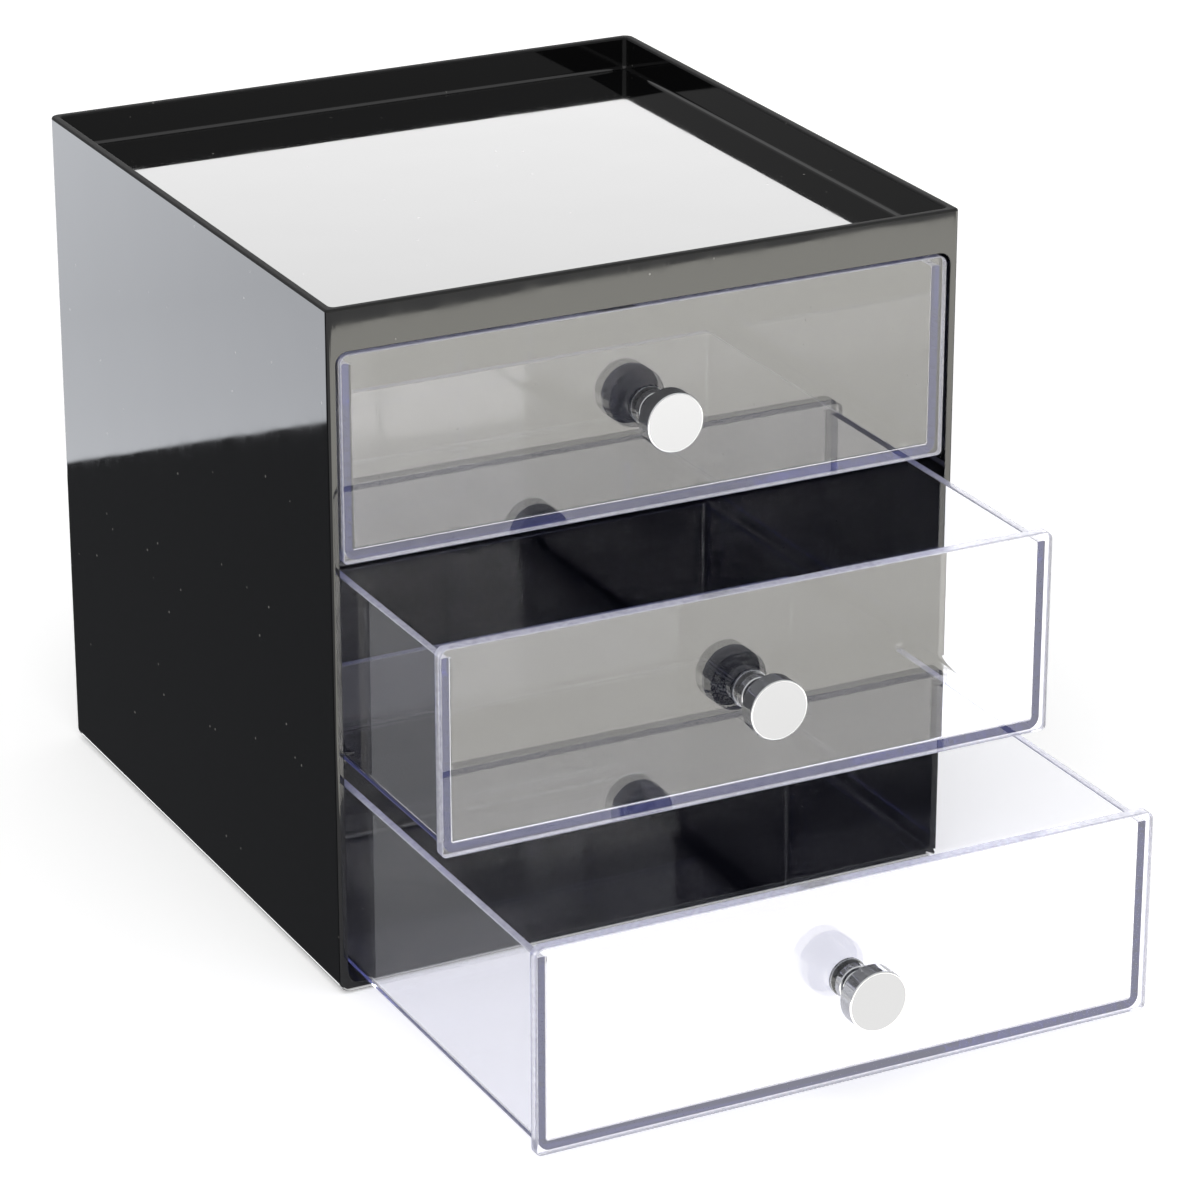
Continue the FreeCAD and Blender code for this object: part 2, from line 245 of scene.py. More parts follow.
@dataclass(frozen=True)
class GlossBlackPolystyrene:
    """Injection moulded high-gloss black polystyrene.

    A polished mould leaves it mirror smooth, so it is dark and shows the room. It waves a little where
    the walls sink, and handling leaves hair scratches and specks. The marked faces, on the tray's rim,
    are dull.
    """

    colour: str = "#060607"
    ior: float = 1.62
    wave: Grain = Grain(28 * MM, detail=1.0)
    wave_relief: Relief = Relief(0.1, depth=0.4 * MM)
    # Real hair scratches are a few hundredths of a millimetre wide, which is too fine to show.
    hair: Grain = Grain(0.35 * MM, detail=3.0, stretch=(1.0, 1.0, 0.03))
    hair_share: Slope = Slope(0.66, 0.74)
    hair_relief: Relief = Relief(0.07, depth=0.02 * MM)
    cloud: Grain = Grain(9 * MM, detail=4.0)
    roughness: Slope = Slope(0.3, 0.75, start=0.025, end=0.06)
    edge_roughness: float = 0.85
    # Real dust is finer than these specks, which are 0.4 to 0.8 mm wide so that they show.
    dust_spacing: float = 6 * MM
    dust_edge: Slope = Slope(0.035, 0.065, start=1.0, end=0.0)
    dust_share: Slope = Slope(0.45, 0.85)
    dust_colour: str = "#8C8A86"

    def build(self) -> bpy.types.Material:
        """Returns the finished material."""
        material, tree, output = new_material("gloss black moulded polystyrene")
        sink = add_node(tree, "ShaderNodeBump", inputs=self.wave_relief.inputs(self.wave.noise(tree)))
        marks = add_node(tree, "ShaderNodeMapRange", inputs=self.hair_share.inputs(self.hair.noise(tree)))
        hairs = self.hair_relief.inputs(marks.outputs[0])
        scratched = add_node(tree, "ShaderNodeBump", inputs={**hairs, "Normal": sink.outputs[0]})
        polished = add_node(
            tree, "ShaderNodeMapRange", inputs=self.roughness.inputs(self.cloud.noise(tree))
        )
        edge = add_node(tree, "ShaderNodeAttribute", {"attribute_name": FACE_MARK})
        roughness = add_node(
            tree,
            "ShaderNodeMath",
            {"operation": "MULTIPLY_ADD"},
            {0: edge.outputs["Fac"], 1: self.edge_roughness, 2: polished.outputs[0]},
        )
        colour = add_node(
            tree, "ShaderNodeMix", COLOUR_MIX, colour_mix(self.specks(tree), self.colour, self.dust_colour)
        )
        shader = add_node(
            tree,
            "ShaderNodeBsdfPrincipled",
            inputs={
                "Base Color": colour.outputs[MIXED_COLOUR],
                "IOR": self.ior,
                "Roughness": roughness.outputs[0],
                "Normal": scratched.outputs[0],
            },
        )
        tree.links.new(shader.outputs[0], output.inputs["Surface"])
        return material

    def specks(self, tree: bpy.types.NodeTree) -> bpy.types.NodeSocket:
        """Scatters a few dust specks.

        Args:
            tree: The node tree that gets the nodes.

        Returns:
            How much dust there is, from 0 to 1.
        """
        place = add_node(tree, "ShaderNodeTexCoord").outputs["Object"]
        cells = add_node(
            tree, "ShaderNodeTexVoronoi", inputs={"Vector": place, "Scale": 1 / self.dust_spacing}
        )
        speck = add_node(
            tree, "ShaderNodeMapRange", inputs=self.dust_edge.inputs(cells.outputs["Distance"])
        )
        chance = add_node(tree, "ShaderNodeSeparateColor", inputs={0: cells.outputs["Color"]})
        some = add_node(tree, "ShaderNodeMapRange", inputs=self.dust_share.inputs(chance.outputs[0]))
        dust = add_node(
            tree, "ShaderNodeMath", {"operation": "MULTIPLY"}, {0: speck.outputs[0], 1: some.outputs[0]}
        )
        return dust.outputs[0]


@dataclass(frozen=True)
class ClearPolystyrene:
    """Crystal clear injection moulded polystyrene, with a trace of violet toner.

    It is as clear as glass face on. Long ways through it, along a wall's edge, turn it blue violet: the
    violet is partly real absorption and partly a painted glow inside the walls. The marked faces, on rims
    and narrow sides, are a little milky.
    """

    tint: str = "#FDFDFF"
    edge_tint: str = "#F1F1FB"
    edge_roughness: float = 0.22
    milk: Grain = Grain(1.2 * MM, detail=3.0)
    milk_share: Slope = Slope(0.3, 0.7, start=0.7, end=1.0)
    clearness: Slope = Slope(0.0, 1.0, start=1.0, end=0.45)
    lamp_tint: str = "#FBFBFE"
    ior: float = 1.62
    depth_tint: str = "#C3C6E8"
    depth_density: float = 16.0
    # Painted light: the colour and strength of a violet glow inside the walls, standing in for piped light.
    painted_glow: str = "#C3C9FF"
    painted_glow_level: float = 0.8
    flow: Grain = Grain(22 * MM, detail=1.0, stretch=(1.0, 1.0, 0.5))
    flow_relief: Relief = Relief(0.04, depth=0.3 * MM)
    cloud: Grain = Grain(6 * MM, detail=4.0)
    roughness: Slope = Slope(0.35, 0.7, start=0.0, end=0.012)

    def build(self) -> bpy.types.Material:
        """Returns the finished material."""
        material, tree, output = new_material("clear moulded polystyrene")
        # Lamps and diffuse light pass straight through, as they do through thin clear walls.
        open_air = add_node(
            tree, "ShaderNodeBsdfTransparent", inputs={"Color": linear(self.lamp_tint)}
        )
        path = add_node(tree, "ShaderNodeLightPath")
        passes = add_node(
            tree,
            "ShaderNodeMath",
            {"operation": "MAXIMUM"},
            {0: path.outputs["Is Shadow Ray"], 1: path.outputs["Is Diffuse Ray"]},
        )
        mixed = add_node(
            tree,
            "ShaderNodeMixShader",
            inputs={0: passes.outputs[0], 1: self.skin(tree), 2: open_air.outputs[0]},
        )
        tree.links.new(mixed.outputs[0], output.inputs["Surface"])
        tree.links.new(self.inside(tree), output.inputs["Volume"])
        return material

    def skin(self, tree: bpy.types.NodeTree) -> bpy.types.NodeSocket:
        """Makes the polished skin, which is milky on the marked faces.

        Args:
            tree: The node tree that gets the nodes.

        Returns:
            The skin's shader.
        """
        ripple = add_node(tree, "ShaderNodeBump", inputs=self.flow_relief.inputs(self.flow.noise(tree)))
        edge = add_node(tree, "ShaderNodeAttribute", {"attribute_name": FACE_MARK}).outputs["Fac"]
        milk = add_node(tree, "ShaderNodeMapRange", inputs=self.milk_share.inputs(self.milk.noise(tree)))
        milky = add_node(tree, "ShaderNodeMath", {"operation": "MULTIPLY"}, {0: edge, 1: milk.outputs[0]})
        polished = add_node(
            tree, "ShaderNodeMapRange", inputs=self.roughness.inputs(self.cloud.noise(tree))
        )
        roughness = add_node(
            tree,
            "ShaderNodeMath",
            {"operation": "MULTIPLY_ADD"},
            {0: milky.outputs[0], 1: self.edge_roughness, 2: polished.outputs[0]},
        )
        clearness = add_node(tree, "ShaderNodeMapRange", inputs=self.clearness.inputs(milky.outputs[0]))
        colour = add_node(
            tree, "ShaderNodeMix", COLOUR_MIX, colour_mix(edge, self.tint, self.edge_tint)
        )
        plastic = add_node(
            tree,
            "ShaderNodeBsdfPrincipled",
            inputs={
                "Base Color": colour.outputs[MIXED_COLOUR],
                "IOR": self.ior,
                "Roughness": roughness.outputs[0],
                "Transmission Weight": clearness.outputs[0],
                "Normal": ripple.outputs[0],
            },
        )
        return plastic.outputs[0]

    def inside(self, tree: bpy.types.NodeTree) -> bpy.types.NodeSocket:
        """Makes what light meets inside the walls.

        The walls also glow faintly violet: painted light that stands in for light piped along them, so long
        ways end violet and not black.

        Args:
            tree: The node tree that gets the nodes.

        Returns:
            The volume's shader.
        """
        depth = add_node(
            tree,
            "ShaderNodeVolumeAbsorption",
            inputs={"Color": linear(self.depth_tint), "Density": self.depth_density},
        )
        # Painted light: the volume emits a violet glow in place of the light piped along the walls.
        piped_glow = add_node(
            tree,
            "ShaderNodeEmission",
            inputs={"Color": linear(self.painted_glow), "Strength": self.painted_glow_level},
        )
        both = add_node(
            tree, "ShaderNodeAddShader", inputs={0: depth.outputs[0], 1: piped_glow.outputs[0]}
        )
        return both.outputs[0]


@dataclass(frozen=True)
class ChromePlating:
    """Bright chrome over polished zinc: a neutral mirror with faint polishing haze.

    The flat turned face of a knob, which is the marked one, is painted darker than its rolled sides, and
    the sides brighter: painted shade and painted highlight for how the light falls on them.
    """

    colour: str = "#D2D3D5"
    painted_shade_face_colour: str = "#8C8D92"
    haze: Grain = Grain(1.5 * MM, detail=5.0)
    roughness: Slope = Slope(0.35, 0.75, start=0.02, end=0.07)
    wave: Grain = Grain(4 * MM, detail=1.0)
    wave_relief: Relief = Relief(0.03, depth=0.1 * MM)

    def build(self) -> bpy.types.Material:
        """Returns the finished material."""
        material, tree, output = new_material("bright chrome plating")
        haze = add_node(tree, "ShaderNodeMapRange", inputs=self.roughness.inputs(self.haze.noise(tree)))
        ripple = add_node(tree, "ShaderNodeBump", inputs=self.wave_relief.inputs(self.wave.noise(tree)))
        face = add_node(tree, "ShaderNodeAttribute", {"attribute_name": FACE_MARK}).outputs["Fac"]
        # Painted light: the marked flat face takes the darker colour as painted shade, the sides the
        # brighter one.
        colour = add_node(
            tree, "ShaderNodeMix", COLOUR_MIX, colour_mix(face, self.colour, self.painted_shade_face_colour)
        )
        shader = add_node(
            tree,
            "ShaderNodeBsdfPrincipled",
            inputs={
                "Base Color": colour.outputs[MIXED_COLOUR],
                "Metallic": 1.0,
                "Roughness": haze.outputs[0],
                "Normal": ripple.outputs[0],
            },
        )
        tree.links.new(shader.outputs[0], output.inputs["Surface"])
        return material


@dataclass(frozen=True)
class ZincPlatedSteel:
    """Bright zinc plate on rolled steel: grey, a little cloudy and softly shining."""

    dark: str = "#9A9C9F"
    light: str = "#BDBFC2"
    cloud: Grain = Grain(1.2 * MM, detail=5.0)
    roughness: Slope = Slope(0.3, 0.7, start=0.22, end=0.36)

    def build(self) -> bpy.types.Material:
        """Returns the finished material."""
        material, tree, output = new_material("zinc plated steel")
        cloud = self.cloud.noise(tree)
        colour = add_node(tree, "ShaderNodeMix", COLOUR_MIX, colour_mix(cloud, self.dark, self.light))
        roughness = add_node(tree, "ShaderNodeMapRange", inputs=self.roughness.inputs(cloud))
        shader = add_node(
            tree,
            "ShaderNodeBsdfPrincipled",
            inputs={
                "Base Color": colour.outputs[MIXED_COLOUR],
                "Metallic": 1.0,
                "Roughness": roughness.outputs[0],
            },
        )
        tree.links.new(shader.outputs[0], output.inputs["Surface"])
        return material


@dataclass(frozen=True)
class NonSlipRubber:
    """Die-cut non-slip rubber: dull dark grey with a fine open grain."""

    dark: str = "#232323"
    light: str = "#353535"
    roughness: float = 0.8
    # The real pores are about a tenth of a millimetre wide, which is too fine to show.
    pores: Grain = Grain(0.5 * MM, detail=3.0)
    pore_relief: Relief = Relief(0.4, depth=0.1 * MM)

    def build(self) -> bpy.types.Material:
        """Returns the finished material."""
        material, tree, output = new_material("non-slip rubber")
        pores = self.pores.noise(tree)
        colour = add_node(tree, "ShaderNodeMix", COLOUR_MIX, colour_mix(pores, self.dark, self.light))
        pitted = add_node(tree, "ShaderNodeBump", inputs=self.pore_relief.inputs(pores))
        shader = add_node(
            tree,
            "ShaderNodeBsdfPrincipled",
            inputs={
                "Base Color": colour.outputs[MIXED_COLOUR],
                "Roughness": self.roughness,
                "Normal": pitted.outputs[0],
            },
        )
        tree.links.new(shader.outputs[0], output.inputs["Surface"])
        return material


# ---------------------------------------------------------------- mesh helpers


def block(bm: bmesh.types.BMesh, low: Sequence[float], high: Sequence[float]) -> None:
    """Adds a rectangular block between two corners.

    Args:
        bm: The mesh that gets the block.
        low: Its lowest corner.
        high: Its highest corner.
    """
    low, high = Vector(low), Vector(high)
    place = Matrix.Translation((low + high) / 2) @ Matrix.Diagonal((*(high - low), 1.0))
    bmesh.ops.create_cube(bm, size=1.0, matrix=place)


def lies(value: float, place: float) -> bool:
    """Tells whether a coordinate is at a place."""
    return abs(value - place) < TOUCH


def sharp_edges(bm: bmesh.types.BMesh, least: float = math.radians(40)) -> list[bmesh.types.BMEdge]:
    """Finds the edges that turn by more than an angle."""
    return [edge for edge in bm.edges if edge.is_manifold and edge.calc_face_angle(0.0) > least]


def round_off(
    bm: bmesh.types.BMesh,
    parts: Sequence[bmesh.types.BMVert] | Sequence[bmesh.types.BMEdge],
    radius: float,
    segments: int,
) -> None:
    """Rounds off corners of a flat face, or edges.

    Args:
        bm: The mesh.
        parts: The corners or the edges.
        radius: Radius of the rounding.
        segments: How many edges or faces it has.
    """
    bmesh.ops.bevel(
        bm,
        geom=parts,
        offset=radius,
        offset_type="OFFSET",
        segments=segments,
        profile=0.5,
        affect="VERTICES" if isinstance(parts[0], bmesh.types.BMVert) else "EDGES",
        clamp_overlap=False,
        loop_slide=True,
        material=-1,
    )


def faces_in(bm: bmesh.types.BMesh, facing: Axis, place: float) -> list[bmesh.types.BMFace]:
    """Finds the flat faces that lie in a plane across an axis."""
    return [face for face in bm.faces if all(lies(vert.co[facing.value], place) for vert in face.verts)]


@dataclass(frozen=True)
class Outline:
    """A rounded rectangle that lies across an axis.

    Its corners, low and high, are given on the other two axes in their order, and its four radii go
    round from the low corner: low-low, high-low, high-high, low-high.
    """

    at: float
    low: tuple[float, float]
    high: tuple[float, float]
    radii: tuple[float, float, float, float]

    def draw(
        self, bm: bmesh.types.BMesh, axis: Axis, segments: int, least: float
    ) -> tuple[list[bmesh.types.BMEdge], bmesh.types.BMFace]:
        """Adds the outline to a mesh as one face.

        Args:
            bm: The mesh.
            axis: The axis that the outline lies across.
            segments: Edges in each rounded corner.
            least: Smallest radius of a corner.

        Returns:
            The outline's edges and its face.
        """
        old_edges, old_faces = set(bm.edges), set(bm.faces)
        u, v = (other.value for other in Axis if other is not axis)
        middle, size = Vector((0.0, 0.0, 0.0)), Matrix(((0.0,) * 3,) * 3)
        middle[axis.value] = self.at
        for index, row in ((0, u), (1, v)):
            middle[row] = (self.low[index] + self.high[index]) / 2
            size[row][index] = self.high[index] - self.low[index]
        place = Matrix.Translation(middle) @ size.to_4x4()
        bmesh.ops.create_grid(bm, x_segments=1, y_segments=1, size=0.5, matrix=place)
        order = ((False, False), (True, False), (True, True), (False, True))
        corners = [vert for face in bm.faces if face not in old_faces for vert in face.verts]
        for vert in corners:
            radius = self.radii[order.index((vert.co[u] > middle[u], vert.co[v] > middle[v]))]
            round_off(bm, [vert], max(radius, least), segments)
        edges = [edge for edge in bm.edges if edge not in old_edges]
        return edges, next(face for face in bm.faces if face not in old_faces)


def loft(
    bm: bmesh.types.BMesh,
    axis: Axis,
    outlines: Sequence[Outline],
    segments: int,
    open_start: bool = False,
    least: float = LEAST_CORNER,
) -> None:
    """Skins a row of outlines and closes it at its ends.

    Args:
        bm: The mesh.
        axis: The axis that the outlines lie across.
        outlines: The outlines in order.
        segments: Edges in each rounded corner.
        open_start: Leaves the first outline open.
        least: Smallest radius of a corner, so that every outline has the same number of points.
    """
    before: list[bmesh.types.BMEdge] = []
    for number, outline in enumerate(outlines):
        edges, face = outline.draw(bm, axis, segments, least)
        is_cap = (number == 0 and not open_start) or number == len(outlines) - 1
        if not is_cap:
            bmesh.ops.delete(bm, geom=[face], context="FACES_ONLY")
        if before:
            bmesh.ops.bridge_loops(bm, edges=before + edges)
        before = edges


def quarter(radius: float, steps: int) -> list[tuple[float, float]]:
    """Returns a quarter circle as pairs of what is left across, down to 0, and how far on, up to radius."""
    turns = [math.pi / 2 * step / steps for step in range(steps + 1)]
    return [(radius * (1 - math.sin(turn)), radius * (1 - math.cos(turn))) for turn in turns]


def open_edges(bm: bmesh.types.BMesh, axis: Axis, place: float) -> list[bmesh.types.BMEdge]:
    """Finds the edges in a plane that have a face on one side only."""
    return [
        edge
        for edge in bm.edges
        if edge.is_boundary and all(lies(vert.co[axis.value], place) for vert in edge.verts)
    ]


def fill_flat(bm: bmesh.types.BMesh, axis: Axis, place: float) -> None:
    """Fills a flat region between open outlines, leaving its inner outlines as holes."""
    bmesh.ops.triangle_fill(
        bm, use_beauty=True, use_dissolve=True, edges=open_edges(bm, axis, place)
    )


def bore(
    bm: bmesh.types.BMesh, radius: float, ends: Sequence[Matrix], is_blind: bool, sides: int = 32
) -> None:
    """Adds the round wall of a hole.

    Args:
        bm: The mesh.
        radius: Radius of the hole.
        ends: The places of its two ends, each of which turns the Z axis onto the hole's own.
        is_blind: Closes the second end.
        sides: Faces round the wall.
    """
    rims = []
    for place, is_closed in zip(ends, (False, is_blind)):
        ring = bmesh.ops.create_circle(
            bm, cap_ends=is_closed, segments=sides, radius=radius, matrix=place
        )["verts"]
        rims += dict.fromkeys(edge for vert in ring for edge in vert.link_edges)
    bmesh.ops.bridge_loops(bm, edges=rims)


def lathe(
    bm: bmesh.types.BMesh, outline: Sequence[tuple[float, float, float]], steps: int, corner_steps: int = 4
) -> None:
    """Turns an outline round the Y axis into a closed solid of revolution.

    Args:
        bm: The mesh that gets the solid.
        outline: Points as radius, place along the axis and rounding of the corner there.
        steps: Faces round the full turn.
        corner_steps: Faces in each rounded corner.
    """
    made = bmesh.new()
    verts = [made.verts.new((radius, place, 0.0)) for radius, place, _ in outline]
    made.faces.new(verts)
    for vert, (_, _, rounding) in zip(verts, outline):
        if rounding > 0:
            round_off(made, [vert], rounding, corner_steps)
    bmesh.ops.delete(made, geom=made.faces[:], context="FACES_ONLY")
    on_axis = [edge for edge in made.edges if all(lies(vert.co.x, 0.0) for vert in edge.verts)]
    bmesh.ops.delete(made, geom=on_axis, context="EDGES")
    bmesh.ops.spin(
        made,
        geom=[*made.verts, *made.edges],
        cent=(0, 0, 0),
        axis=(0, 1, 0),
        angle=math.tau,
        steps=steps,
        use_merge=True,
        use_duplicate=False,
    )
    bmesh.ops.remove_doubles(made, verts=made.verts, dist=TOUCH / 4)
    bmesh.ops.recalc_face_normals(made, faces=made.faces)
    join(bm, made)


def join(bm: bmesh.types.BMesh, part: bmesh.types.BMesh) -> None:
    """Moves one mesh into another.

    Args:
        bm: The mesh that gets the other.
        part: The other mesh, which is freed.
    """
    carrier = bpy.data.meshes.new("carrier")
    part.to_mesh(carrier)
    part.free()
    bm.from_mesh(carrier)
    bpy.data.meshes.remove(carrier)


def mark_faces(bm: bmesh.types.BMesh, is_marked: Callable[[Vector], bool]) -> None:
    """Marks the faces that the finish treats apart.

    Args:
        bm: The mesh.
        is_marked: Tells from a face's middle whether it is one of them.
    """
    mark = bm.faces.layers.float.new(FACE_MARK)
    for face in bm.faces:
        face[mark] = float(is_marked(face.calc_center_median()))


def add_object(name: str, data: bpy.types.ID) -> bpy.types.Object:
    """Puts an object into the scene.

    Args:
        name: Name of the object.
        data: Its mesh, light or camera.

    Returns:
        The new object.
    """
    made = bpy.data.objects.new(name, data)
    bpy.context.scene.collection.objects.link(made)
    return made


def mesh_object(bm: bmesh.types.BMesh, name: str, material: bpy.types.Material) -> bpy.types.Object:
    """Makes an object of a mesh.

    Args:
        bm: The mesh, which is freed.
        name: Name of the object.
        material: Its finish.

    Returns:
        The new object.
    """
    mesh = bpy.data.meshes.new(name)
    bm.to_mesh(mesh)
    bm.free()
    mesh.materials.append(material)
    return add_object(name, mesh)


def finish_piece(
    bm: bmesh.types.BMesh,
    name: str,
    material: bpy.types.Material,
    body: str,
    nodes: Sequence[str],
) -> None:
    """Makes an object of a mesh, dresses it and ties it to its CAD body.

    Args:
        bm: The mesh, which is freed.
        name: Name of the piece.
        material: Its finish.
        body: The CAD body it moves with.
        nodes: CAD nodes that the piece stands for.
    """
    for face in bm.faces:
        face.smooth = True
    for edge in sharp_edges(bm):
        edge.smooth = False
    piece = mesh_object(bm, name, material)
    even = piece.modifiers.new("flat faces stay flat", "WEIGHTED_NORMAL")
    even.mode = "FACE_AREA"
    even.weight = 100
    even.keep_sharp = True
    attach(piece, body)
    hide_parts(*nodes)
    LOG.info("%s: %d faces", name, len(piece.data.polygons))


# ---------------------------------------------------------------- sub-assemblies


@dataclass
class Case:
    """The black case: one moulding with a tray on top, an open front and runners inside."""

    wall: float = 2.2 * MM
    base: float = 2.4 * MM
    header: float = 10.8 * MM
    tray_depth: float = 8.8 * MM
    tray_corner: float = 1.2 * MM
    tray_fillet: float = 0.9 * MM
    back_fillet: float = 0.5 * MM
    mouth_corner: float = 3.0 * MM
    base_corner: float = 3.0 * MM
    front_edge: float = 1.0 * MM
    back_corner: float = 2.5 * MM
    rim: float = 0.6 * MM
    rim_fall: float = 0.03 * MM
    lip: float = 0.3 * MM
    seat_radius: float = 5.3 * MM
    seat_depth: float = 0.6 * MM
    runner_width: float = 8.0 * MM
    runner_thick: float = 2.0 * MM
    runner_setback: float = 10.0 * MM
    runner_edge: float = 0.3 * MM
    bite: float = 0.4 * MM
    corner_steps: int = 6
    rim_steps: int = 3
    fillet_steps: int = 4
    back_steps: int = 2
    tray_least_corner: float = 0.2 * MM
    body: str = "case"

    def __post_init__(self) -> None:
        """Reads the case's own box."""
        self.low, self.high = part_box("case_shell")

    def plan(self, z: float, inset: float = 0.0) -> Outline:
        """Draws the outside of the case at one height.

        Args:
            z: The height.
            inset: How far the top rim's rounding has drawn it in.

        Returns:
            The outline, drawn in where the bottom edges round off.
        """
        sides, front, back = (
            radius - math.sqrt(max(0.0, radius**2 - max(0.0, radius - (z - self.low.z)) ** 2)) + inset
            for radius in (self.base_corner, self.front_edge, self.back_corner)
        )
        fore, aft = self.front_edge - inset, self.back_corner - inset
        return Outline(
            z,
            (self.low.x + sides, self.low.y + front),
            (self.high.x - sides, self.high.y - back),
            (fore, fore, aft, aft),
        )

    def tray(self, z: float, inset: float) -> Outline:
        """Returns the inside of the tray at one height, drawn in from the case's outline."""
        radius = max(self.tray_corner + self.wall - inset, self.tray_least_corner)
        return Outline(
            z,
            (self.low.x + inset, self.low.y + inset),
            (self.high.x - inset, self.high.y - inset),
            (radius,) * 4,
        )

    def mouth(self, y: float, grown: float) -> Outline:
        """Returns the drawer opening at one depth, grown by the rounding of its edge."""
        side = self.wall - grown
        return Outline(
            y,
            (self.low.x + side, self.low.z + self.base - grown),
            (self.high.x - side, self.high.z - self.header + grown),
            (self.mouth_corner + grown,) * 4,
        )

    def shell(self) -> bmesh.types.BMesh:
        """Returns the mesh of the case without its runners."""
        bm = bmesh.new()
        low, high, steps = self.low, self.high, self.corner_steps
        outside = [self.plan(low.z + up) for _, up in quarter(self.base_corner, steps)]
        rim = quarter(self.rim, self.rim_steps)
        outside += [self.plan(high.z - left, on) for left, on in rim]
        inside = [self.tray(high.z - self.rim_fall - on, self.wall - left) for left, on in rim]
        floor, fillet = high.z - self.tray_depth, quarter(self.tray_fillet, self.fillet_steps)
        inside += [self.tray(floor + left, self.wall + on) for left, on in fillet]
        loft(bm, Axis.Z, outside + inside, steps)

        bmesh.ops.delete(bm, geom=faces_in(bm, Axis.Y, low.y), context="FACES")
        back = high.y - self.wall
        opening = [self.mouth(low.y + on, left) for left, on in quarter(self.lip, self.rim_steps)]
        opening += [self.mouth(back - left, -on) for left, on in quarter(self.back_fillet, self.back_steps)]
        loft(bm, Axis.Y, opening, steps, open_start=True)
        fill_flat(bm, Axis.Y, low.y)

        bmesh.ops.delete(bm, geom=faces_in(bm, Axis.Z, low.z), context="FACES_ONLY")
        for corner in Corner:
            middle = sum(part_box(f"foot_{corner.value}"), Vector()) / 2
            heights = (low.z, low.z + self.seat_depth)
            seat = [Matrix.Translation((middle.x, middle.y, z)) for z in heights]
            bore(bm, self.seat_radius, seat, is_blind=True)
        fill_flat(bm, Axis.Z, low.z)
        bmesh.ops.recalc_face_normals(bm, faces=bm.faces)
        mark_faces(bm, lambda middle: middle.z > high.z - self.rim)
        return bm

    def runners(self) -> bmesh.types.BMesh:
        """Returns the mesh of the six runners, two under each drawer."""
        bm = bmesh.new()
        inner, start = self.high.x - self.wall, self.low.y + self.runner_setback
        end = self.high.y - self.wall + self.bite
        for bay in Bay:
            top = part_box(f"{bay.value}_drawer")[0].z
            under, outer = top - self.runner_thick, inner + self.bite
            if bay is Bay.BOTTOM:
                under, outer = self.low.z + self.base - self.bite, inner - self.mouth_corner
            for side in (-1, 1):
                near, far = sorted((side * (inner - self.runner_width), side * outer))
                rail = bmesh.new()
                block(rail, (near, start, under), (far, end, top))
                round_off(rail, rail.edges[:], self.runner_edge, self.rim_steps)
                bmesh.ops.remove_doubles(rail, verts=rail.verts, dist=TOUCH)
                join(bm, rail)
        return bm

    def build(self, material: bpy.types.Material) -> None:
        """Builds the case and its runners."""
        finish_piece(self.shell(), "case", material, self.body, ["case_shell"])
        finish_piece(self.runners(), "case_runners", material, self.body, ["case_shell"])


@dataclass
class Foot:
    """One die-cut non-slip pad, seated in the underside of the case.

    Two shallow rings run round its sole, at shares of its radius. Their grooves are widest at the sole
    and half as wide at the bottom.
    """

    corner: Corner
    edge: float = 0.2 * MM
    rings: tuple[float, float] = (0.35, 0.65)
    groove: float = 0.25 * MM
    groove_reach: float = 0.375 * MM
    sides: int = 40
    body: str = "case"

    def build(self, material: bpy.types.Material) -> None:
        """Builds the pad.

        Args:
            material: Its finish.
        """
        node = f"foot_{self.corner.value}"
        low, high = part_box(node)
        radius, thick = (high.x - low.x) / 2, high.z - low.z
        sole = [(0.0, 0.0, 0.0)]
        for ring in self.rings:
            for reach, depth in ((-1.0, 0.0), (-0.5, self.groove), (0.5, self.groove), (1.0, 0.0)):
                sole.append((radius * ring + reach * self.groove_reach, depth, 0.0))
        sole += [(radius, 0.0, self.edge), (radius, thick, self.edge), (0.0, thick, 0.0)]
        bm = bmesh.new()
        lathe(bm, sole, self.sides)
        bmesh.ops.rotate(bm, verts=bm.verts, cent=(0, 0, 0), matrix=Matrix.Rotation(math.pi / 2, 3, "X"))
        middle = (low + high) / 2
        bmesh.ops.translate(bm, verts=bm.verts, vec=(middle.x, middle.y, low.z))
        finish_piece(bm, f"pad_{self.corner.value}", material, self.body, [node])


